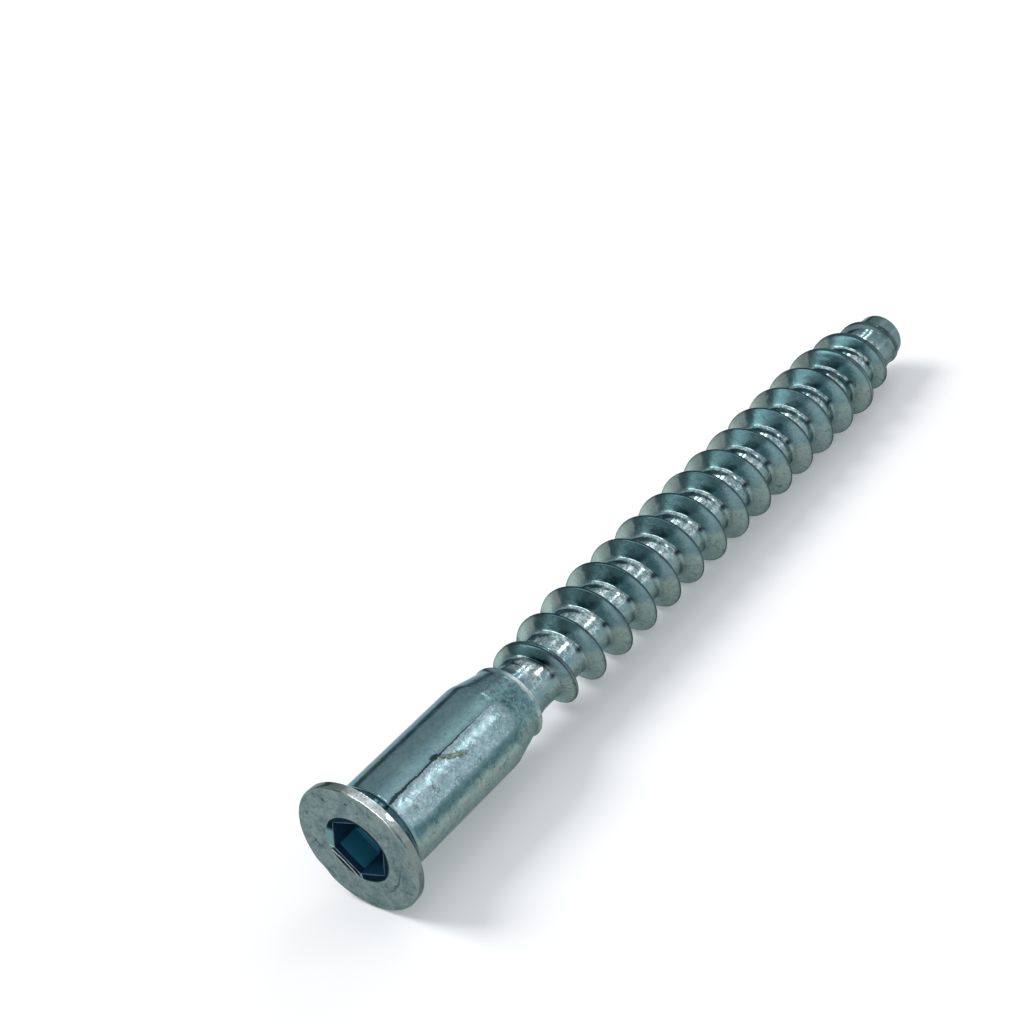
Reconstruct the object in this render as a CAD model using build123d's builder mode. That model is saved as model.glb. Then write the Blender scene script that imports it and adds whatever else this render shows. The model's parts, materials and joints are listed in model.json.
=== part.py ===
# Confirmat screw, 7 x 70 mm: a one-piece furniture connector for chipboard, cold formed
# from steel wire and zinc plated. It has a countersunk head with a hexagon socket, a plain
# shank, a necked taper, a coarse rolled thread and a blunt guide point.
#
# The screw is drawn along Z, from the face of its head at zero to its point. It is then
# laid down as it rests on a table, on the rim of its head and one crest of its thread,
# pointing along +X, with the origin on the table under the middle of its bounding box.
import os
from math import atan2, ceil, cos, floor, radians, sin, tan

from build123d import *

os.makedirs("parts", exist_ok=True)

# Driving sizes, in mm and degrees
screw_length = 70.0         # face of the head to the end of the point

head_diameter = 10.1
head_rim_height = 0.7       # straight edge of the head
head_cone_angle = 100.0     # full angle of the countersunk underside
face_chamfer = 0.15         # between the face and the rim
underhead_radius = 0.5      # fillet between the cone and the shank

shank_diameter = 7.05
shank_end = 13.5            # from the face of the head
taper_length = 3.2
taper_end_diameter = 5.7
lip_length = 0.3            # small step from the taper into the neck
neck_diameter = 4.9
neck_fall_length = 1.4      # the neck narrows down to the core of the thread

core_diameter = 4.35        # between the turns of the thread
thread_diameter = 6.98
thread_pitch = 3.2
thread_start = 17.48        # where the ridge leaves the neck, on the screw's right side
ridge_base_width = 1.8      # along the screw, at the core
ridge_crest_width = 0.3
run_in_turns = 0.5          # the ridge rises at once to its first height
first_crest_diameter = 5.95
growth_turns = 2.0          # and then grows slowly to its full height
run_out_turns = 1.0         # near the point the crest falls away again
last_crest_diameter = 5.95
fade_turns = 1.1            # and sinks back into the core
ridge_sink = 0.1            # of the ends of the ridge, under the surface of the point
stretch_turns = 1 / 4       # the ridge is laid in stretches up to this long

point_length = 0.9          # plain blunt point past the end of the ridge
point_taper_length = 2.3
point_diameter = 3.9
point_chamfer = 0.25

socket_across_flats = 4.15
socket_depth = 2.2
socket_floor_cone = 0.45    # shallow cone left at the bottom by the punch
socket_mouth_diameter = 5.35
socket_mouth_depth = 0.25   # of the round lead-in, where it meets the flats
socket_turn = 23.0          # of a socket corner, from the screw's right side

rest_side = 70.0            # side it comes to rest on, in degrees from its right side

# Radii and heights that follow from the driving sizes
head_radius = head_diameter / 2
shank_radius = shank_diameter / 2
core_radius = core_diameter / 2
crest_radius = thread_diameter / 2
point_radius = point_diameter / 2
head_height = head_rim_height + (head_radius - shank_radius) / tan(radians(head_cone_angle / 2))
taper_end = shank_end + taper_length
neck_start = taper_end + lip_length
core_start = neck_start + neck_fall_length
core_end = screw_length - point_taper_length
sunk_radius = point_radius - ridge_sink
foot_radius = sunk_radius - ridge_sink

# The ridge along its helix: turns from its start, and the radius of its crest there
total_turns = (screw_length - point_length - thread_start) / thread_pitch
growth_end = run_in_turns + growth_turns
run_out_start = total_turns - fade_turns - run_out_turns
crest_stages = [
    (0.0, sunk_radius),
    (run_in_turns, first_crest_diameter / 2),
    (growth_end, crest_radius),
    (run_out_start, crest_radius),
    (total_turns - fade_turns, last_crest_diameter / 2),
    (total_turns, sunk_radius),
]


def crest_at(turn):
    """Radius of the crest at a number of turns from the start of the ridge."""
    for (turn_a, radius_a), (turn_b, radius_b) in zip(crest_stages, crest_stages[1:]):
        if turn <= turn_b:
            return radius_a + (radius_b - radius_a) * (turn - turn_a) / (turn_b - turn_a)
    return sunk_radius


# Half width that the ridge gains for each mm from its crest down to its foot
flank_slope = (ridge_base_width - ridge_crest_width) / 2 / (crest_radius - core_radius)


def ridge_section(plane, crest):
    """Section of the ridge in a plane through the axis: a narrow crest on two flanks."""
    half_crest = ridge_crest_width / 2
    half_foot = half_crest + flank_slope * (crest - foot_radius)
    with BuildSketch(plane) as section:
        with BuildLine():
            Polyline(
                (crest, half_crest),
                (crest, -half_crest),
                (foot_radius, -half_foot),
                (foot_radius, half_foot),
                close=True,
            )
        make_face()
    return section.sketch


def ridge_stretch(turns, crest_from, crest_to):
    """One stretch of the ridge, under a turn long, whose crest may rise or fall."""
    rise = turns * thread_pitch
    angle = radians(360 * turns)
    start_plane = Plane(origin=(0, 0, 0), x_dir=(1, 0, 0), z_dir=(0, -1, 0))
    end_plane = Plane(
        origin=(0, 0, rise),
        x_dir=(cos(angle), sin(angle), 0),
        z_dir=(sin(angle), -cos(angle), 0),
    )
    sections = [ridge_section(start_plane, crest_from), ridge_section(end_plane, crest_to)]
    with BuildPart() as stretch:
        with BuildLine() as helix:
            Helix(pitch=thread_pitch, height=rise, radius=core_radius)
        sweep(sections=sections, path=helix.line, multisection=True, is_frenet=True)
    return stretch.part


# Outline of the turned form: radius, height, and the rounding of that corner
outline = [
    ((0, 0), 0),
    ((head_radius - face_chamfer, 0), 0),
    ((head_radius, face_chamfer), 0),
    ((head_radius, head_rim_height), 0),
    ((shank_radius, head_height), underhead_radius),
    ((shank_radius, shank_end), 0),
    ((taper_end_diameter / 2, taper_end), 0),
    ((neck_diameter / 2, neck_start), 0),
    ((core_radius, core_start), 0),
    ((core_radius, core_end), 0),
    ((point_radius, screw_length - point_chamfer), 0),
    ((point_radius - point_chamfer, screw_length), 0),
    ((0, screw_length), 0),
]

with BuildPart() as screw:
    # Head, shank, taper, neck, core and point, in one turned form
    with BuildSketch(Plane.XZ):
        with BuildLine():
            FilletPolyline(*[corner for corner, _ in outline], radius=[r for _, r in outline], close=True)
        make_face()
    revolve(axis=Axis.Z)

    # Hexagon socket, punched into the face
    with BuildSketch(Plane.XY):
        RegularPolygon(socket_across_flats / 2, 6, major_radius=False, rotation=socket_turn)
    extrude(amount=socket_depth, mode=Mode.SUBTRACT)

    # Round lead-in at the mouth of the socket, and the cone at its bottom
    with BuildSketch(Plane.XZ):
        with BuildLine():
            Polyline(
                (0, 0),
                (socket_mouth_diameter / 2, 0),
                (socket_across_flats / 2, socket_mouth_depth),
                (0, socket_mouth_depth),
                close=True,
            )
        make_face()
        with BuildLine():
            Polyline(
                (0, socket_depth),
                (socket_across_flats / 2, socket_depth),
                (0, socket_depth + socket_floor_cone),
                close=True,
            )
        make_face()
    revolve(axis=Axis.Z, mode=Mode.SUBTRACT)

    # Coarse right-hand thread: a ridge rolled up around the core, laid stretch by stretch
    for (turn_a, _), (turn_b, _) in zip(crest_stages, crest_stages[1:]):
        pieces = ceil((turn_b - turn_a) / stretch_turns)
        piece_turns = (turn_b - turn_a) / pieces
        for piece in range(pieces):
            turn = turn_a + piece * piece_turns
            stretch = ridge_stretch(piece_turns, crest_at(turn), crest_at(turn + piece_turns))
            with Locations(Location((0, 0, thread_start + turn * thread_pitch), (0, 0, 360 * turn))):
                add(stretch)

# At rest the screw leans on the tip side of its rim and on the tip side of the first crest
# to reach the table, of those that pass under it
crest_edge = thread_start + ridge_crest_width / 2 - head_rim_height
under_turns = [k + rest_side / 360 for k in range(floor(total_turns))]
rest_angle = min(
    atan2(head_radius - crest_at(turn), crest_edge + turn * thread_pitch)
    for turn in under_turns
)
face_height = head_rim_height * sin(rest_angle) + head_radius * cos(rest_angle)

# Ends of the lying screw along X: the low edge of its face and the high edge of its point
back_end = -(head_radius - face_chamfer) * sin(rest_angle)
front_end = screw_length * cos(rest_angle) + (point_radius - point_chamfer) * sin(rest_angle)

# Laid down: the rest side faces the table and the point lies along +X
side = radians(rest_side)
lying = Plane(
    origin=(-(back_end + front_end) / 2, 0, face_height),
    x_dir=(-cos(side) * sin(rest_angle), -sin(side), -cos(side) * cos(rest_angle)),
    z_dir=(cos(rest_angle), 0, -sin(rest_angle)),
)
screw.part.locate(lying.location)
screw.part.label = "screw"
export_step(screw.part, "parts/screw.step")
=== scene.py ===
import json
import math

import bpy
import numpy as np
from mathutils import Matrix, Vector

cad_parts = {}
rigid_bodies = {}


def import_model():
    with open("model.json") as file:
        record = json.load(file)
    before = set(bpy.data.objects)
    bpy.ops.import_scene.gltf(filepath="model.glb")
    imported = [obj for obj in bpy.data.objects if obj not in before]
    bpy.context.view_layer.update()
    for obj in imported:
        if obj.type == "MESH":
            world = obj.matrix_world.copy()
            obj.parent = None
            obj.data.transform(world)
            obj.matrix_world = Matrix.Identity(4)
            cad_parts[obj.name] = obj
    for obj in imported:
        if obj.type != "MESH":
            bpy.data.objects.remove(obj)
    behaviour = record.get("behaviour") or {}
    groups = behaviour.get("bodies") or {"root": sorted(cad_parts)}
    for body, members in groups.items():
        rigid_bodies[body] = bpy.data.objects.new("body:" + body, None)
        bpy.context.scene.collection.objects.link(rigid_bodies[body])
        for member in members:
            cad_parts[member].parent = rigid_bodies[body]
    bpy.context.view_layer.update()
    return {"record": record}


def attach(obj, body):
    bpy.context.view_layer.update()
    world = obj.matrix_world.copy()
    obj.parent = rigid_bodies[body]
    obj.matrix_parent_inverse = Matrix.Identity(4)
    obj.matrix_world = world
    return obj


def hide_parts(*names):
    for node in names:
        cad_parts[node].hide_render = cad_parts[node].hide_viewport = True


for start_object in list(bpy.data.objects):
    bpy.data.objects.remove(start_object)

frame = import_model()

# Screw, turned form
# The real screw is one piece of steel wire. Its head is upset and its hexagon socket punched
# in a press, which also leaves the plain shank, the taper with its lip and the blunt point.
# It is drawn in mm, with its face at height 0 and its point along +Z, and laid down later.
MM = 0.001
CLOSE = 1e-3                # points this near are one, and heights this near are level
COLUMNS = 120               # round the screw, 3 degrees each
FIRST_COLUMN = 2 / 360      # of a turn, so that columns fall on the corners of the socket

SOCKET_CORNER = math.radians(23)
SOCKET_FLAT = 2.075         # from the axis
SOCKET_DEPTH = 2.2
SOCKET_FLOOR = 2.65         # at the middle of the cone left by the punch
FLOOR_FADE = 4              # how fast the hexagon dies away from the edge of that cone
MOUTH_RADIUS = 2.675        # of the round lead-in
MOUTH_DEPTH = 0.25
WALL_TOP = 0.15             # depth at which the sharp hexagon begins

HEAD_RADIUS = 5.048
FACE_ROUNDING = 0.2         # of the edge between the face and the rim
RIM_HEIGHT = 0.7
RIM_ROUNDING = 0.1
KNOCK_DEPTH = 0.16          # where the rim was knocked flat
KNOCK_SIDE, KNOCK_WIDTH = 121, 9            # in degrees, the second one to each side

SHANK_RADIUS = 3.525
CONE_END = (SHANK_RADIUS + 0.18, 1.83)      # radius and height, as all corners below
UNDERHEAD_FILLET = 0.5
SHANK_START = (SHANK_RADIUS, 2.213)
SHANK_END = (SHANK_RADIUS, 13.3)
TAPER_BEND = 1.6            # radius of the bend from the shank into the taper
TAPER_ANGLE = 12
TAPER_END = (2.85, 16.3)
LIP = [(2.9, 16.45), (2.94, 16.54), (2.92, 16.63), (2.8, 16.69), (2.56, 16.74)]
LIP_HEIGHT = 16.5
LIP_SWELL = 0.13            # by which the lip stands out more on one side
LIP_SIDE, LIP_WIDTH = 15, 60
NECK_START = (2.42, 16.84)
NECK_END = (2.15, 18.5)
CORE_RADIUS = 2.175
HIDDEN_CORE = [(2.0, 19.2), (2.0, 66.4)]    # under the thread, which covers it
POINT_START = (2.19, 67.35)
POINT_END = (1.97, 69.7)
POINT_ROUNDING = 0.3
LENGTH = 70.0


def arc(centre, radius, start, end, count):
    """Points of an arc in the outline, by angles in degrees."""
    angles = [math.radians(start + (end - start) * k / count) for k in range(count + 1)]
    return [(centre[0] + radius * math.cos(q), centre[1] + radius * math.sin(q)) for q in angles]


def run(start, end, count):
    """Points that divide the line between two corners of the outline, without the corners."""
    return [
        (start[0] + (end[0] - start[0]) * k / count, start[1] + (end[1] - start[1]) * k / count)
        for k in range(1, count)
    ]


def select_only(piece):
    bpy.ops.object.select_all(action="DESELECT")
    piece.select_set(True)
    bpy.context.view_layer.objects.active = piece


def wind(name, outline, first_turn, turns, pitch):
    """Winds an outline round the Z axis, as a lathe does, or a thread die with a pitch."""
    start = math.tau * first_turn
    lift = pitch * first_turn
    mesh = bpy.data.meshes.new(name)
    mesh.from_pydata(
        [(r * math.cos(start), r * math.sin(start), z + lift) for r, z in outline],
        [(k, k + 1) for k in range(len(outline) - 1)],
        [],
    )
    piece = bpy.data.objects.new(name, mesh)
    bpy.context.scene.collection.objects.link(piece)
    select_only(piece)
    screw_modifier = piece.modifiers.new("wind", "SCREW")
    screw_modifier.axis = "Z"
    screw_modifier.angle = math.tau * turns
    screw_modifier.screw_offset = pitch * turns
    screw_modifier.steps = screw_modifier.render_steps = round(COLUMNS * turns)
    bpy.ops.object.modifier_apply(modifier=screw_modifier.name)
    bpy.ops.object.mode_set(mode="EDIT")
    bpy.ops.mesh.select_all(action="SELECT")
    bpy.ops.mesh.remove_doubles(threshold=CLOSE)
    bpy.ops.object.mode_set(mode="OBJECT")
    return piece


def read_points(piece):
    """The piece's points, a row for each, with their radius, polar angle and height."""
    co = np.empty(len(piece.data.vertices) * 3)
    piece.data.vertices.foreach_get("co", co)
    co = co.reshape(-1, 3)
    x, y, height = co.T.copy()
    return co, np.hypot(x, y), np.arctan2(y, x), height


def move_points(piece, co, radius, new_radius, new_height):
    """Moves the piece's points out from the axis or in, and along it."""
    off_axis = radius > 1e-6
    co[off_axis, :2] *= (new_radius[off_axis] / radius[off_axis])[:, None]
    co[:, 2] = new_height
    piece.data.vertices.foreach_set("co", co.ravel())
    piece.data.update()


def fade(values, zero, one):
    """0 where the values are at or past the first level, rising to 1 at the second."""
    return np.clip((values - zero) / (one - zero), 0, 1)


def close_to(values, centre, half_width):
    """1 where the values are at a centre, falling to 0 at a half width from it."""
    return fade(np.abs(values - centre), half_width, 0)


def hexagon_reach(polar):
    """How many times further out than its flats the socket's outline is in a direction."""
    return 1 / np.cos((polar - SOCKET_CORNER) % (math.pi / 3) - math.pi / 6)


floor_middle = (0, SOCKET_FLOOR)
wall_foot = (SOCKET_FLAT, SOCKET_DEPTH)
wall_top = (SOCKET_FLAT, MOUTH_DEPTH)
mouth = (MOUTH_RADIUS, 0)
face_edge = HEAD_RADIUS - FACE_ROUNDING
rim_end = RIM_HEIGHT - RIM_ROUNDING
end_edge = POINT_END[0] - POINT_ROUNDING
outline = [floor_middle] + run(floor_middle, wall_foot, 6) + [wall_foot]
outline += run(wall_foot, wall_top, 10) + [wall_top]
outline += run(wall_top, mouth, 6) + [mouth]
outline += run(mouth, (face_edge, 0), 14)
outline += arc((face_edge, FACE_ROUNDING), FACE_ROUNDING, -90, 0, 6)
outline += run((HEAD_RADIUS, FACE_ROUNDING), (HEAD_RADIUS, rim_end), 3)
outline += arc((HEAD_RADIUS - RIM_ROUNDING, rim_end), RIM_ROUNDING, 0, 40, 3)
outline += run(outline[-1], CONE_END, 8)
fillet_middle = (SHANK_RADIUS + UNDERHEAD_FILLET, SHANK_START[1])
outline += arc(fillet_middle, UNDERHEAD_FILLET, 230, 180, 6)
outline += run(SHANK_START, SHANK_END, 40)
outline += arc((SHANK_RADIUS - TAPER_BEND, SHANK_END[1]), TAPER_BEND, 0, TAPER_ANGLE, 4)
outline += run(outline[-1], TAPER_END, 12)
outline += [TAPER_END] + LIP + [NECK_START]
outline += run(NECK_START, NECK_END, 8)
outline += [NECK_END] + HIDDEN_CORE + [POINT_START]
outline += run(POINT_START, POINT_END, 12)
outline += arc((end_edge, POINT_END[1]), POINT_ROUNDING, 4, 90, 6)
outline += run((end_edge, LENGTH), (0, LENGTH), 6) + [(0, LENGTH)]
screw = wind("zinc_plated_screw", outline, FIRST_COLUMN, 1, 0)

# The socket's round outline is pressed out to a hexagon, and its floor and lead-in with it
co, radius, polar, height = read_points(screw)
within_flats = radius < SOCKET_FLAT + CLOSE
in_floor = within_flats & (height > SOCKET_DEPTH - CLOSE) & (height < SOCKET_FLOOR + CLOSE)
in_wall = within_flats & (height > MOUTH_DEPTH - CLOSE) & (height < SOCKET_DEPTH)
in_lead = ~within_flats & (radius < MOUTH_RADIUS - CLOSE) & (height > CLOSE)
in_lead &= height < MOUTH_DEPTH
reach = hexagon_reach(polar)
floor_share = (radius / SOCKET_FLAT) ** FLOOR_FADE
wall_share = (SOCKET_DEPTH - height) / (SOCKET_DEPTH - MOUTH_DEPTH)
lead_share = (radius - SOCKET_FLAT) / (MOUTH_RADIUS - SOCKET_FLAT)
new_radius = np.select(
    [in_floor, in_wall, in_lead],
    [
        radius * (1 + (reach - 1) * floor_share),
        radius * reach,
        SOCKET_FLAT * reach + lead_share * (MOUTH_RADIUS - SOCKET_FLAT * reach),
    ],
    radius,
)
new_height = np.select(
    [in_wall, in_lead],
    [SOCKET_DEPTH + wall_share * (WALL_TOP - SOCKET_DEPTH), WALL_TOP * (1 - lead_share)],
    height,
)

# The lip stands out more on one side, and the rim of the head was knocked flat at one place
side = np.degrees(polar)
on_lip = close_to(height, LIP_HEIGHT, 0.3) * (radius > 2.7)
new_radius += LIP_SWELL * on_lip * close_to(side, LIP_SIDE, LIP_WIDTH)
on_rim = (radius > HEAD_RADIUS - 0.25) & (height < RIM_HEIGHT + 0.2)
new_radius -= KNOCK_DEPTH * on_rim * close_to(side, KNOCK_SIDE, KNOCK_WIDTH)
move_points(screw, co, radius, new_radius, new_height)

# Screw, thread
# The thread is rolled up from the wire between two dies: one right-hand ridge with straight
# flanks. It rises out of the neck, grows over two turns and sinks back into the point. Where
# the dies let the steel close up over it, near both ends, its crest keeps a fine fold.
PITCH = 3.2
HALF_PITCH = PITCH / 2
THREAD_START = 17.48
THREAD_TURNS = 16.35
EXTRA_TURNS = 0.75          # of plain core, wound on at each end under the body's surface
CREST_RADIUS = 3.49
CREST_STAGES = [            # turn, and radius of the crest there
    (-1, 1.85), (0, 1.85), (0.5, 2.975), (1.4, 3.28), (2.5, CREST_RADIUS),
    (14.03, CREST_RADIUS), (15.03, 2.975), (THREAD_TURNS, 1.98), (18, 1.7),
]
CORE_STAGES = [             # height, and radius between the turns there
    (17.7, 2.05), (18.25, CORE_RADIUS), (67.2, CORE_RADIUS), (68.2, 2.0), (70, 1.5),
]
CREST_ROUNDING = [(CREST_RADIUS, 0), (3.485, 0.045), (3.465, 0.08)]
FLANK_TOP = (3.41, 0.11)    # radius, and half width of the ridge there, along the screw
FLANK_END = (2.32, 0.70)
ROOT_FILLET = [(2.245, 0.75), (2.195, 0.83)]
FOOT = 0.95                 # half width of the ridge at the core
LOW_RIDGE_WIDTH = 0.5       # share of its width that the ridge keeps where it has no height
CREST_WAVES = ((9.1, 0), (23.7, 1.3), (41.9, 0.4))      # of the steel, per turn, and offset
WAVE_HEIGHT = 0.006
FOLD_DEPTH = 0.13
FOLD_SPREAD = [             # place across the ridge, and what the fold adds to it
    (0, 0), (0.05, 0.09), (0.12, 0.12), (0.6, 0.05), (FOOT, 0),
]
SQUEEZE_START = 68.5        # height past which the strip's end is pressed together
SQUEEZE_LENGTH = 1.2

half_outline = CREST_ROUNDING + [FLANK_TOP]
half_outline += run(FLANK_TOP, FLANK_END, 6)
half_outline += [FLANK_END] + ROOT_FILLET + [(CORE_RADIUS, FOOT)]
half_outline += run((CORE_RADIUS, FOOT), (CORE_RADIUS, HALF_PITCH), 3)
half_outline += [(CORE_RADIUS, HALF_PITCH)]
thread = wind(
    "rolled_thread",
    [(r, THREAD_START - s) for r, s in reversed(half_outline[1:])]
    + [(r, THREAD_START + s) for r, s in half_outline],
    -EXTRA_TURNS,
    THREAD_TURNS + 2 * EXTRA_TURNS,
    PITCH,
)


def along_thread(polar, height):
    """Turn of the thread that each point belongs to, and its place across the ridge in mm."""
    part_turn = polar / math.tau
    turn = part_turn + np.round((height - THREAD_START) / PITCH - part_turn)
    return turn, height - THREAD_START - turn * PITCH


# The strip dives under the neck and the point at its two ends. Where the ridge is low it is
# also narrow, as its flanks keep their slope, and where it is folded its crest is wider.
co, radius, polar, height = read_points(thread)
turn, across = along_thread(polar, height)
side, out = np.sign(across), np.abs(across)
crest = np.interp(turn, *zip(*CREST_STAGES))
core = np.interp(height, *zip(*CORE_STAGES))
height_share = (radius - CORE_RADIUS) / (CREST_RADIUS - CORE_RADIUS)
waves = sum(np.sin(turn * rate + offset) for rate, offset in CREST_WAVES)
folded = fade(np.abs(turn), 1.6, 0.6) + fade(turn, 12.4, 14.0)
new_radius = core + height_share * (crest - core + WAVE_HEIGHT * waves)
new_radius -= FOLD_DEPTH * folded * (out < 0.02)
narrowing = np.interp(crest, (CORE_RADIUS, CREST_RADIUS), (LOW_RIDGE_WIDTH, 1))
foot_now = FOOT * narrowing
on_ridge = out * narrowing + np.interp(out, *zip(*FOLD_SPREAD)) * folded
on_core = foot_now + (out - FOOT) / (HALF_PITCH - FOOT) * (HALF_PITCH - foot_now)
new_height = height - across + side * np.where(out < FOOT, on_ridge, on_core)
past = np.clip(new_height - SQUEEZE_START, 0, None)
new_height -= past - SQUEEZE_LENGTH * (1 - np.exp(-past / SQUEEZE_LENGTH))
move_points(thread, co, radius, new_radius, new_height)


def face_outwards(piece):
    select_only(piece)
    bpy.ops.object.mode_set(mode="EDIT")
    bpy.ops.mesh.select_all(action="SELECT")
    bpy.ops.mesh.normals_make_consistent(inside=False)
    bpy.ops.object.mode_set(mode="OBJECT")


# Both ends of the strip are closed under the surface, so that it joins the body as one solid
for low_end in (True, False):
    select_only(thread)
    bpy.ops.object.mode_set(mode="EDIT")
    bpy.ops.mesh.select_mode(type="VERT")
    bpy.ops.mesh.select_all(action="DESELECT")
    bpy.ops.mesh.select_non_manifold(extend=False)
    bpy.ops.object.mode_set(mode="OBJECT")
    for point in thread.data.vertices:
        point.select = point.select and (point.co.z < LENGTH / 2) == low_end
    bpy.ops.object.mode_set(mode="EDIT")
    bpy.ops.mesh.extrude_region_move()
    bpy.ops.mesh.merge(type="CENTER")
    bpy.ops.object.mode_set(mode="OBJECT")
    face_outwards(thread)
face_outwards(screw)
union = screw.modifiers.new("thread", "BOOLEAN")
union.operation = "UNION"
union.solver = "MANIFOLD"
union.object = thread
bpy.ops.object.modifier_apply(modifier=union.name)
bpy.data.objects.remove(thread)

# Screw, places of its plating
# The plating changes from place to place, and so does the light and shade painted into it:
# darker along the crests, painted shade in the socket, behind the lip and under the first turn,
# a painted highlight on the lip, painted light and shade on the flanks and in the roots, and
# matt on the pressed face.
# Each point keeps its place in the screw's own frame, in mm, and these masks from 0 to 1.
# Painted shade: a speck in each root, under the first turn where it stands over the neck, and
# behind the lip
SHADE_SPECK_SIDE, SHADE_SPECK_ACROSS = math.radians(-43), -0.85     # one in each root
SHADE_GAP_TURN, SHADE_GAP_ACROSS = 0.77, -0.6   # where the first turn stands over the neck
BEHIND_LIP = (16.66, 16.97)
BEHIND_LIP_SIDE = math.radians(-65)
LIP_HIGHLIGHT_SIDE = math.radians(-70)

co, radius, polar, height = read_points(screw)
turn, across = along_thread(polar, height)
crest = np.interp(turn, *zip(*CREST_STAGES))
on_thread = fade(height, 16.9, 17.2) * fade(height, 69.8, 69.5)
above_core = radius - CORE_RADIUS
to_speck = np.hypot((polar - SHADE_SPECK_SIDE) * CORE_RADIUS, across - SHADE_SPECK_ACROSS)
root_shade_speck = fade(to_speck, 0.375, 0.125) * (above_core < 0.25) * (height > 19)
shade_under_first_turn = fade(np.abs(turn - SHADE_GAP_TURN), 0.105, 0.035)
shade_under_first_turn *= fade(np.abs(across - SHADE_GAP_ACROSS), 0.405, 0.135)
behind_lip = (height > BEHIND_LIP[0]) & (height < BEHIND_LIP[1]) & (radius < 2.85)
behind_lip &= np.abs(polar - BEHIND_LIP_SIDE) < 0.8
# Painted highlight along the lip, on one side
lip_highlight = fade(np.abs(height - LIP_HEIGHT), 0.15, 0.05) * (radius > 2.8)
lip_highlight *= fade(np.abs(polar - LIP_HIGHLIGHT_SIDE), 0.6, 0.2)
in_socket = (radius < SOCKET_FLAT * hexagon_reach(polar) + CLOSE) & (height > CLOSE)
in_socket &= height < SOCKET_FLOOR + CLOSE
in_mouth = (radius < MOUTH_RADIUS - 0.02) & (height > 0.005) & (height < MOUTH_DEPTH + CLOSE)
masks = {
    "painted_shade": np.max([root_shade_speck, shade_under_first_turn, behind_lip], axis=0),
    "lip": lip_highlight,
    "crest": fade(crest - radius, 0.096, 0.016) * on_thread * (crest > CORE_RADIUS + 0.1),
    "root": fade(above_core, 0.35, 0) * on_thread * fade(height, 66.8, 66.2),
    "point": fade(height, 64.5, 67.5),
    "flank": fade(above_core, 0.1, 0.4) * on_thread,
    "face": (height < 0.02) & (radius > MOUTH_RADIUS - 0.03),
    "rim": (height < RIM_HEIGHT + 0.1) & (radius > HEAD_RADIUS - 0.12),
    "mouth": in_mouth & ~in_socket,
    "socket": in_socket,
}
for mask_name, values in masks.items():
    attribute = screw.data.attributes.new(mask_name, "FLOAT", "POINT")
    attribute.data.foreach_set("value", values.astype(np.float32))
attribute = screw.data.attributes.new("place", "FLOAT_VECTOR", "POINT")
attribute.data.foreach_set("vector", co.astype(np.float32).ravel())

# Screw, at rest
# A loose screw lies on the rim of its head and on crests of its thread, with its heavier side
# down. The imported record's hex socket mount gives the middle of its face and its direction.
REST_SIDE = math.radians(70)    # side that faces the table
SHARP_EDGE = math.radians(32)   # edges sharper than this aren't smoothed
mounts = {mount["name"]: mount for mount in frame["record"]["mounts"]}
face_middle = Vector(mounts["hex_socket"]["pos_m"])
to_point = -Vector(mounts["hex_socket"]["axis"])
straight_down = Vector((0, 0, -1))
down = (straight_down - straight_down.dot(to_point) * to_point).normalized()
sideways = to_point.cross(down)
local_x = math.cos(REST_SIDE) * down - math.sin(REST_SIDE) * sideways
local_y = to_point.cross(local_x)
lying = Matrix((local_x, local_y, to_point)).transposed().to_4x4()
screw.data.transform(Matrix.Translation(face_middle) @ lying @ Matrix.Scale(MM, 4))
select_only(screw)
bpy.ops.object.shade_smooth_by_angle(angle=SHARP_EDGE)
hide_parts("screw")
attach(screw, "root")

# Screw, zinc plating
# Bright zinc with a blue finish over the formed steel: a blue-grey mirror, crinkled where the
# wire was drawn and cloudy from handling, with a matt pressed face. Painted shade, highlights
# and reflections lie in its colour at fixed places on the screw.
plating = bpy.data.materials.new("zinc_plating")
plating.use_nodes = True
tree = plating.node_tree        # the functions below add to the tree in hand
surface = tree.nodes["Principled BSDF"]
surface.inputs["Specular Tint"].default_value = (0.5, 0.58, 0.62, 1)


def join(value, socket):
    """Feeds a socket from another node, or gives it a number or a colour of its own."""
    if isinstance(value, bpy.types.NodeSocket):
        tree.links.new(value, socket)
    else:
        socket.default_value = value


def mask(name):
    """A mask of the screw's points, or with "place" their place in mm."""
    node = tree.nodes.new("ShaderNodeAttribute")
    node.attribute_name = name
    return node.outputs["Vector" if name == "place" else "Fac"]


def math_node(operation, first, second, clamp):
    node = tree.nodes.new("ShaderNodeMath")
    node.operation = operation
    node.use_clamp = clamp
    join(first, node.inputs[0])
    join(second, node.inputs[1])
    return node.outputs["Value"]


def times(first, second):
    """Product of two shares, kept between 0 and 1 as the next two are."""
    return math_node("MULTIPLY", first, second, True)


def plus(first, second):
    return math_node("ADD", first, second, True)


def minus(first, second):
    return math_node("SUBTRACT", first, second, True)


def measure(operation, first, second=0.0):
    """A length, an angle or another value that may be below 0 or above 1."""
    return math_node(operation, first, second, False)


def fall(value, length):
    """1 where a value is 0, falling to 0 at a length."""
    return minus(1.0, measure("DIVIDE", value, length))


def near(value, centre, half_width):
    """1 where a value is at a centre, falling to 0 at a half width from it."""
    return fall(measure("ABSOLUTE", measure("SUBTRACT", value, centre)), half_width)


def ramp(value, stops, cast=(1, 1, 1)):
    """Maps a value to a level by (position, level) stops, with a cast to its colour."""
    node = tree.nodes.new("ShaderNodeValToRGB")
    for _ in stops[2:]:
        node.color_ramp.elements.new(0.5)
    for element, (position, level) in zip(node.color_ramp.elements, stops):
        element.position = position
        element.color = (level * cast[0], level * cast[1], level * cast[2], 1)
    join(value, node.inputs["Fac"])
    return node.outputs["Color"]


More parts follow.
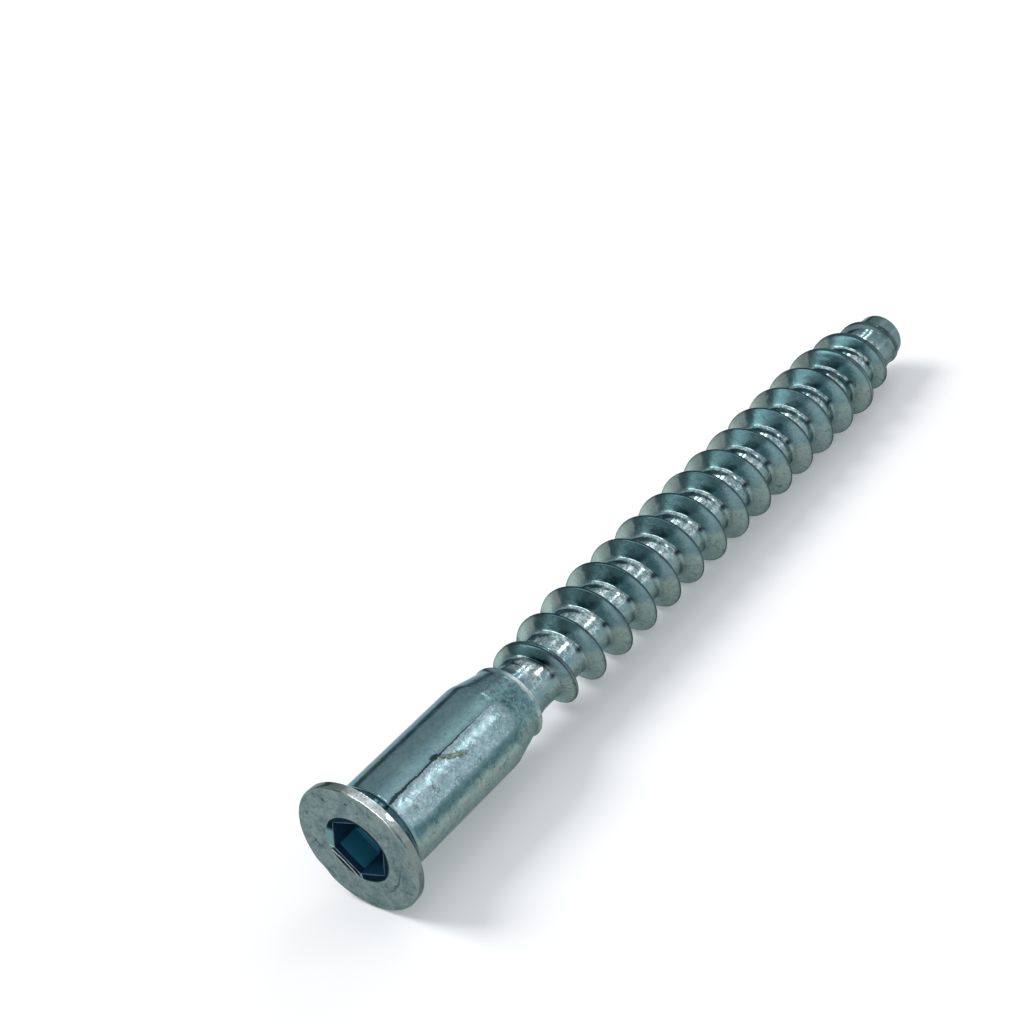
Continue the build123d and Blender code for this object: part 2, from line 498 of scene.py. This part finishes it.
def rise(value, start, end):
    """Maps a value to a share that rises from 0 to 1 between two levels."""
    return ramp(value, [(start, 0), (end, 1)])


def lay(share, under, over):
    """Lays one colour over another, where the share is 1."""
    node = tree.nodes.new("ShaderNodeMix")
    node.data_type = "RGBA"
    join(share, node.inputs["Factor"])
    join(under, node.inputs["A"])
    join(over, node.inputs["B"])
    return node.outputs["Result"]


place = mask("place")
split_place = tree.nodes.new("ShaderNodeSeparateXYZ")
join(place, split_place.inputs["Vector"])
place_x, place_y, place_z = split_place.outputs
angle = measure("ARCTAN2", place_y, place_x)


def noise(scale, detail, roughness=0.5, distortion=0.0, output="Fac"):
    """Noise in the screw's own frame, whose grains are about 1/scale mm apart."""
    node = tree.nodes.new("ShaderNodeTexNoise")
    node.inputs["Scale"].default_value = scale
    node.inputs["Detail"].default_value = detail
    node.inputs["Roughness"].default_value = roughness
    node.inputs["Distortion"].default_value = distortion
    join(place, node.inputs["Vector"])
    return node.outputs[output]


def wobble(scale, detail, roughness, size):
    """Noise about 0, that makes a drawn line waver."""
    return measure("MULTIPLY", measure("SUBTRACT", noise(scale, detail, roughness), 0.5), size)


def side_of(angle, centre, half_width):
    """1 at a side of the screw, in degrees from its right, falling to 0 at a half width."""
    return near(angle, math.radians(centre), math.radians(half_width))


def by_height(stops, reach=20):
    """Maps the height to a level by (height in mm, level) stops, up to a reach in mm."""
    share = math_node("DIVIDE", place_z, reach, True)
    return ramp(share, [(stop / reach, level) for stop, level in stops])


# All over: blue-grey, with lighter clouds and a duller mottle
PLATE = (0.150, 0.255, 0.275, 1)
CLOUD = (0.21, 0.32, 0.33, 1)
DULL = (0.085, 0.15, 0.165, 1)
blotches = rise(noise(0.8, 5, 0.6, 0.6), 0.4, 0.62)
mottle = rise(noise(3.2, 5, 0.62, 0.8), 0.45, 0.62)
tint = lay(times(blotches, 0.6), PLATE, CLOUD)
tint = lay(times(mottle, 0.35), tint, DULL)

# Head: a matt face, and a rim worn to the grey metal, with a painted highlight on the side
# turned up
FACE = (0.225, 0.275, 0.262, 1)
RIM = (0.17, 0.17, 0.14, 1)
PAINTED_HIGHLIGHT = (0.60, 0.66, 0.64, 1)
RIM_HIGHLIGHT_SIDE = (-84, 30)    # side and half width in degrees, as all sides below
jagged_line = wobble(1.1, 4, 0.75, 0.34)
jagged_angle = measure("ADD", angle, jagged_line)
face_tint = lay(plus(times(mottle, 0.45), times(blotches, 0.5)), FACE, DULL)
tint = lay(mask("face"), tint, face_tint)
tint = lay(times(mask("rim"), plus(0.45, times(blotches, 0.35))), tint, RIM)
# Painted highlight along the rim on the side turned up, broken by the mottle
rim_highlight = times(mask("rim"), rise(side_of(jagged_angle, *RIM_HIGHLIGHT_SIDE), 0, 0.5))
tint = lay(times(rim_highlight, minus(0.9, times(mottle, 0.4))), tint, PAINTED_HIGHLIGHT)

# Marks on the face: a C-shaped nick, stretches of rings cut by a tool, a hairline and dents
DARK_MARK_AND_SHADE = (0.015, 0.03, 0.035, 1)
NICK, NICK_RADIUS = (-4.0, -0.46), 0.24
NICK_SIDE = -4.35               # across the face, where the C is closed
TOOL_RINGS = (                  # radius and half width in mm, side and half span in degrees
    (3.5, 0.1, 12, 36), (4.62, 0.08, 80, 14),
)
HAIRLINE_SIDE, HAIRLINE_RADIUS = 149, 3.9
DENTS = (                       # place on the face, and radius
    (-3.06, -2.81, 0.16), (-0.24, -3.68, 0.15), (-1.2, -3.8, 0.1), (0.6, 4.1, 0.1),
    (4.2, 0.9, 0.12),
)
wavering = wobble(2.2, 3, 0.6, 0.5)


def from_spot(x, y):
    """Distance from a place on the face, seen along the screw, with a wavering edge."""
    along_x = measure("SUBTRACT", place_x, x)
    along_y = measure("SUBTRACT", place_y, y)
    squares = measure(
        "ADD", measure("MULTIPLY", along_x, along_x), measure("MULTIPLY", along_y, along_y)
    )
    return measure("ADD", measure("SQRT", squares), wavering)


from_axis = from_spot(0, 0)
nick = times(near(from_spot(*NICK), NICK_RADIUS, 0.09), near(place_x, NICK_SIDE, 0.4))
hairline = near(measure("ADD", angle, wavering), math.radians(HAIRLINE_SIDE), 0.03)
hairline = times(hairline, near(from_axis, HAIRLINE_RADIUS, 0.9))
marks = plus(nick, hairline)
for ring_radius, half_width, ring_side, half_span in TOOL_RINGS:
    ring = times(near(from_axis, ring_radius, half_width), side_of(angle, ring_side, half_span))
    marks = plus(marks, ring)
for x, y, size in DENTS:
    marks = plus(marks, fall(from_spot(x, y), size))
marks = times(marks, mask("face"))
tint = lay(times(marks, 0.95), tint, DARK_MARK_AND_SHADE)

# Haze clouds the right side of the shank and thread, where its paler tone is partly a painted
# reflection. Above it the shank has a painted dark reflection in a streak, and its taper is
# worn.
HAZE_AND_LIGHT = (0.33, 0.42, 0.37, 1)
SHADE_AND_WEAR = (0.055, 0.115, 0.125, 1)
HAZE_AND_SHEEN_SIDE = (14, 48)
DARK_REFLECTION_SIDE = (-31, 13)
WORN_SIDE = (-65, 75)
on_shank = times(by_height([(2.0, 0), (2.4, 1)]), by_height([(13.2, 1), (14.0, 0)]))
# Haze on the right side, paler partly as a painted reflection
haze_and_sheen = times(side_of(jagged_angle, *HAZE_AND_SHEEN_SIDE), by_height([(1.6, 0), (2.2, 1)]))
haze_and_sheen = rise(haze_and_sheen, 0, 0.25)
tint = lay(times(haze_and_sheen, minus(0.8, times(mottle, 0.4))), tint, HAZE_AND_LIGHT)
# Painted dark reflection in a streak along the shank
dark_reflection_streak = times(rise(side_of(jagged_angle, *DARK_REFLECTION_SIDE), 0, 0.8), on_shank)
tint = lay(times(dark_reflection_streak, minus(1.0, times(mottle, 0.35))), tint, SHADE_AND_WEAR)
worn_taper = by_height([(12.4, 0), (13.4, 1), (16.2, 1), (16.4, 0)])
worn_taper = times(side_of(jagged_angle, *WORN_SIDE), worn_taper)
tint = lay(times(worn_taper, plus(0.3, mottle)), tint, SHADE_AND_WEAR)

# A stretch of the shank was pressed flat where it was gripped, on the side turned up, and is
# paler there with an icy mottle that is partly a painted sheen. A jagged painted dark reflection
# line runs along its edge, wider at one place, with a gouge across it.
ICY_SHEEN = (0.50, 0.58, 0.64, 1)
OLIVE = (0.085, 0.085, 0.05, 1)
GRIP_AND_SHEEN_SIDE = (-59, 22)
DARK_LINE_SIDE = (-78, 2.6)
LINE_WIDENING_SIDE = (-79.5, 4)
GOUGE_SIDE = -75.5
LINE_WIDENING_HEIGHT, GOUGE_HEIGHT = 7.0, 8.1
GOUGE_SLOPE = 7.9               # mm along the screw for each radian round it
line_angle = measure("ADD", angle, measure("MULTIPLY", jagged_line, 0.35))
# Gripped zone, paler partly as a painted sheen on the side turned up
gripped_and_sheen = rise(times(side_of(line_angle, *GRIP_AND_SHEEN_SIDE), on_shank), 0.08, 0.2)
tint = lay(times(gripped_and_sheen, plus(0.05, times(mottle, 0.5))), tint, ICY_SHEEN)
gouge_run = measure("MULTIPLY", angle, GOUGE_SLOPE)
gouge_run = measure("ADD", gouge_run, math.radians(GOUGE_SIDE) * -GOUGE_SLOPE)
from_gouge = measure("SUBTRACT", measure("SUBTRACT", place_z, LINE_WIDENING_HEIGHT), gouge_run)
from_gouge = measure("ADD", from_gouge, measure("MULTIPLY", jagged_line, 7))
gouge = times(near(from_gouge, 0, 0.75), near(place_z, GOUGE_HEIGHT, 1.5))
gouge = times(rise(gouge, 0.15, 0.45), on_shank)
tint = lay(times(gouge, plus(0.5, mottle)), tint, OLIVE)
# Painted dark reflection line along the edge of the bright band, wider at one place, with a
# shallow groove in the bumps
dark_line_width = by_height([(3.6, 0.9), (4.8, 0.55), (8.0, 0.5), (13.2, 0.15)])
dark_reflection_line = minus(side_of(line_angle, *DARK_LINE_SIDE), minus(1.0, dark_line_width))
line_widening = times(side_of(line_angle, *LINE_WIDENING_SIDE), near(place_z, LINE_WIDENING_HEIGHT, 0.45))
dark_reflection_line = rise(times(plus(dark_reflection_line, line_widening), on_shank), 0.05, 0.3)
dark_reflection_line = times(dark_reflection_line, 0.95)
tint = lay(dark_reflection_line, tint, DARK_MARK_AND_SHADE)

# Thread: painted highlights and painted shade in the roots, painted shade on the upper flanks
# and behind the lip, a painted highlight on the lip, painted light on the left flanks, a grey
# point and darker crests
POINT = (0.125, 0.18, 0.175, 1)
DEEP_SHADE = (0.003, 0.011, 0.018, 1)
ROOT_HIGHLIGHT_SIDE = (-86, 58)
SHADED_ROOT_SIDE = (0, 70)
SHADED_FLANK_SIDE = (-104, 36)
LIT_LEFT_FLANK_SIDE = (-160, 24)
# Painted highlights, mottled, in the roots on the upper side
root_highlight_side = rise(side_of(angle, *ROOT_HIGHLIGHT_SIDE), 0, 0.4)
tint = lay(times(mask("root"), times(times(mottle, root_highlight_side), 0.9)), tint, PAINTED_HIGHLIGHT)
# Painted shade in the roots on the right side
shaded_root = rise(times(mask("root"), side_of(angle, *SHADED_ROOT_SIDE)), 0, 0.45)
tint = lay(times(shaded_root, 0.4), tint, DULL)
# Painted shade in the roots, under the first turn and behind the lip
tint = lay(times(mask("painted_shade"), 0.95), tint, DEEP_SHADE)
# Painted highlight along the lip
tint = lay(mask("lip"), tint, PAINTED_HIGHLIGHT)
# Painted shade on the upper flanks
shaded_upper_flank = rise(times(mask("flank"), side_of(jagged_angle, *SHADED_FLANK_SIDE)), 0, 0.2)
tint = lay(times(shaded_upper_flank, 0.95), tint, SHADE_AND_WEAR)
tint = lay(times(mask("point"), minus(0.9, times(mottle, 0.5))), tint, POINT)
# Painted light on the left flanks
lit_left_flank = times(mask("flank"), rise(side_of(jagged_angle, *LIT_LEFT_FLANK_SIDE), 0, 0.15))
tint = lay(times(lit_left_flank, 0.8), tint, HAZE_AND_LIGHT)
tint = lay(times(mask("crest"), 0.8), tint, DARK_MARK_AND_SHADE)

# Fine dark cracks between the grains of the plating, and specks of dirt
CRACK_WIDTH = 0.035
warp = tree.nodes.new("ShaderNodeVectorMath")
warp.operation = "MULTIPLY_ADD"
join(noise(1.4, 1.5, output="Color"), warp.inputs[0])
join((1.1, 1.1, 1.1), warp.inputs[1])
join(place, warp.inputs[2])
grains = tree.nodes.new("ShaderNodeTexVoronoi")
grains.feature = "DISTANCE_TO_EDGE"
grains.inputs["Scale"].default_value = 0.8
join(warp.outputs["Vector"], grains.inputs["Vector"])
cracks = times(fall(grains.outputs["Distance"], CRACK_WIDTH), rise(noise(0.9, 1), 0.45, 0.65))
cracked = plus(plus(haze_and_sheen, gripped_and_sheen), plus(mask("face"), worn_taper))
cracks = times(cracks, times(cracked, 0.85))
specks = rise(noise(5.0, 3), 0.68, 0.71)
tint = lay(times(plus(specks, cracks), 0.7), tint, DARK_MARK_AND_SHADE)

# Socket: painted shade all over, but for one wall and the floor by it, which are painted as lit,
# in a clean blue. Its mouth is painted dark as shade, with two painted highlight lines along it
# over that wall.
LIT_WALL_SIDE = 113
LIT_WALL_WIDTH = 31            # to each side of it
DARK_MOUTH_WIDTH = 40
SHADED_MOUTH_SIDE = (-48, 138)
SOCKET_SHADE = (0.006, 0.035, 0.075, 1)
LIT_WALL_BLUE = (0.025, 0.23, 0.34, 1)
HIGHLIGHT_LINES = ((2.11, 0.035), (2.36, 0.04))      # distance from the axis and half width
# Painted shade on the lead-in of the mouth
dark_mouth = rise(side_of(angle, LIT_WALL_SIDE, DARK_MOUTH_WIDTH), 0.2, 0.3)
mouth_tint = lay(dark_mouth, PLATE, DARK_MARK_AND_SHADE)
mouth_tint = lay(rise(side_of(angle, *SHADED_MOUTH_SIDE), 0.03, 0.1), mouth_tint, DEEP_SHADE)
from_edge = measure(
    "ADD",
    measure("MULTIPLY", place_x, math.cos(math.radians(LIT_WALL_SIDE))),
    measure("MULTIPLY", place_y, math.sin(math.radians(LIT_WALL_SIDE))),
)
from_edge = measure("ADD", from_edge, measure("MULTIPLY", wavering, 0.3))
# Painted highlights along two lines of the mouth over the lit wall
highlight_lines = plus(*[near(from_edge, distance, width) for distance, width in HIGHLIGHT_LINES])
mouth_tint = lay(highlight_lines, mouth_tint, PAINTED_HIGHLIGHT)
tint = lay(mask("mouth"), tint, mouth_tint)
# Painted light on one wall of the socket and the floor by it
lit_wall = by_height([(0.583, 0), (0.6625, 1)], SOCKET_FLOOR)
lit_wall = rise(times(side_of(angle, LIT_WALL_SIDE, LIT_WALL_WIDTH), lit_wall), 0, 0.1)
tint = lay(mask("socket"), tint, lay(lit_wall, SOCKET_SHADE, LIT_WALL_BLUE))

# Gloss and dents: each place adds its share to what the plating has all over
gloss = plus(times(blotches, 0.1), 0.09)
for matt_place, share in (
    (mask("face"), 0.3),
    (plus(mask("socket"), mask("mouth")), 0.3),
    (mask("flank"), 0.1),
    (gripped_and_sheen, 0.16),
    (worn_taper, 0.2),
    (haze_and_sheen, 0.15),
):
    gloss = plus(gloss, times(matt_place, share))
crinkled = 0.1
for rough_place, share in (
    (gripped_and_sheen, 0.22), (mask("face"), 0.3), (haze_and_sheen, 0.2), (mask("rim"), 0.2),
):
    crinkled = plus(crinkled, times(rough_place, share))
dug_out = times(plus(plus(marks, dark_reflection_line), gouge), 0.4)
relief = measure("MULTIPLY", noise(1.1, 2.5, 0.5, 1.0), crinkled)
dents = tree.nodes.new("ShaderNodeBump")
dents.inputs["Distance"].default_value = 0.12 * MM
dents.inputs["Strength"].default_value = 1.0
join(measure("SUBTRACT", relief, dug_out), dents.inputs["Height"])
join(tint, surface.inputs["Base Color"])
join(minus(1.0, times(mask("socket"), 0.9)), surface.inputs["Metallic"])
join(gloss, surface.inputs["Roughness"])
join(dents.outputs["Normal"], surface.inputs["Normal"])
screw.data.materials.clear()
screw.data.materials.append(plating)

# Floor
# A plain sheet of matt white paper, which the screw lies on. The camera sees it a little
# lighter than it is lit, as pure white, and so does the screw's mirror.
SHEET_WIDTH = 1.6
PAPER_WHITE = (0.9, 0.9, 0.9, 1)
CAMERA_GLOW = 0.16
MIRROR_GLOW = 0.28
bpy.ops.mesh.primitive_plane_add(size=SHEET_WIDTH, location=(0, 0, 0))
floor = bpy.context.object
floor.name = "floor"
paper = bpy.data.materials.new("white_paper")
paper.use_nodes = True
tree = paper.node_tree
paper_surface = tree.nodes["Principled BSDF"]
paper_surface.inputs["Base Color"].default_value = PAPER_WHITE
paper_surface.inputs["Roughness"].default_value = 0.9
paper_surface.inputs["Emission Color"].default_value = (1, 1, 1, 1)
paper_rays = tree.nodes.new("ShaderNodeLightPath")
glow = measure(
    "ADD",
    measure("MULTIPLY", paper_rays.outputs["Is Camera Ray"], CAMERA_GLOW),
    measure("MULTIPLY", paper_rays.outputs["Is Glossy Ray"], MIRROR_GLOW),
)
join(glow, paper_surface.inputs["Emission Strength"])
floor.data.materials.append(paper)

# Light
# A pale room, darker at the horizon to the screw's left and behind its head. The plating
# mirrors it with a softbox, a strip that lights nothing else, and two panes ahead. A key lamp,
# which the plating doesn't mirror, throws the shadow.
ROOM_CAST = (0.97, 1, 1.04)
ROOM_STRENGTH = 1.2
ROOM_IN_MIRROR = 0.8            # more, as the plating mirrors it
# Over the screw from side to side: 0 at the left horizon, 1/2 overhead, 1 at the right one
AHEAD = [
    (0.0, 0.22), (0.06, 0.07), (0.09, 0.08), (0.12, 0.30), (0.35, 0.34), (0.48, 0.52),
    (0.545, 0.64), (0.62, 0.42), (0.72, 0.50), (0.86, 0.46), (0.95, 0.78), (1.0, 0.6),
]
# Behind the head, low down: 0 to the screw's right, 1 to its left
BEHIND_LOW = [
    (0.2, 0.3), (0.39, 0.42), (0.43, 0.42), (0.47, 0.26), (0.515, 0.15), (0.56, 0.2),
    (0.86, 0.2), (0.92, 0.38),
]
# Behind the head, higher up: 0 at the horizon, 1 overhead
BEHIND_HIGH = [(0.3, 0.3), (0.7, 0.42), (1.0, 0.55)]

room = bpy.data.worlds.new("pale_room")
bpy.context.scene.world = room
room.use_nodes = True
tree = room.node_tree
background = tree.nodes["Background"]
direction = tree.nodes.new("ShaderNodeTexCoord")
split_direction = tree.nodes.new("ShaderNodeSeparateXYZ")
join(direction.outputs["Generated"], split_direction.inputs["Vector"])
along_screw, to_side, upward = split_direction.outputs
round_share = measure("DIVIDE", measure("ARCTAN2", upward, to_side), math.pi)
ahead = ramp(round_share, AHEAD, ROOM_CAST)
side_share = measure("ADD", measure("MULTIPLY", to_side, 0.5), 0.5)
high_share = minus(measure("MULTIPLY", upward, 3.0), 1.1)
behind = lay(
    high_share,
    ramp(side_share, BEHIND_LOW, ROOM_CAST),
    ramp(upward, BEHIND_HIGH, ROOM_CAST),
)
ahead_share = plus(measure("MULTIPLY", along_screw, 2.0), 0.4)
join(lay(ahead_share, behind, ahead), background.inputs["Color"])
room_rays = tree.nodes.new("ShaderNodeLightPath")
in_mirror = measure("MULTIPLY", room_rays.outputs["Is Glossy Ray"], ROOM_IN_MIRROR)
join(measure("ADD", in_mirror, ROOM_STRENGTH), background.inputs["Strength"])

LAMP_DISTANCE = 0.6


def soft_lamp(name, azimuth, elevation, width, height, watts):
    """A soft lamp that faces the screw from a direction in degrees."""
    data = bpy.data.lights.new(name, "AREA")
    data.shape = "RECTANGLE"
    data.size = width
    data.size_y = height
    data.energy = watts
    lamp = bpy.data.objects.new(name, data)
    bpy.context.scene.collection.objects.link(lamp)
    azimuth, elevation = math.radians(azimuth), math.radians(elevation)
    towards = Vector((
        math.cos(elevation) * math.cos(azimuth),
        math.cos(elevation) * math.sin(azimuth),
        math.sin(elevation),
    ))
    lamp.location = towards * LAMP_DISTANCE
    lamp.rotation_euler = towards.to_track_quat("Z", "Y").to_euler()
    return lamp


soft_lamp("softbox", -47, 37, 0.1, 0.1, 0.18)
strip = soft_lamp("strip_behind", 180, 31, 0.55, 0.15, 1.2)
strip.visible_diffuse = False
soft_lamp("left_pane_ahead", 14, 42, 0.06, 0.09, 0.12)
soft_lamp("right_pane_ahead", -3, 43, 0.06, 0.09, 0.12)
key = soft_lamp("key", 110, 50, 0.25, 0.25, 2.0)
key.visible_glossy = False

# Camera
# It looks down on the screw over its head, from where the photograph was taken. Its place,
# its turn and its long lens were worked out from the screw's own sizes in the photograph.
CAMERA_PLACE = Vector((-103.7294, -88.6957, 99.6894)) * MM
CAMERA_TURN = (56.2006, 11.9022, -53.4213)      # in degrees
camera_data = bpy.data.cameras.new("camera")
camera_data.lens = 78.31
camera_data.sensor_width = 36
camera_data.clip_start = 0.01
camera = bpy.data.objects.new("camera", camera_data)
bpy.context.scene.collection.objects.link(camera)
camera.location = CAMERA_PLACE
camera.rotation_euler = [math.radians(turn) for turn in CAMERA_TURN]
bpy.context.scene.camera = camera
bpy.context.scene.view_settings.view_transform = "Standard"
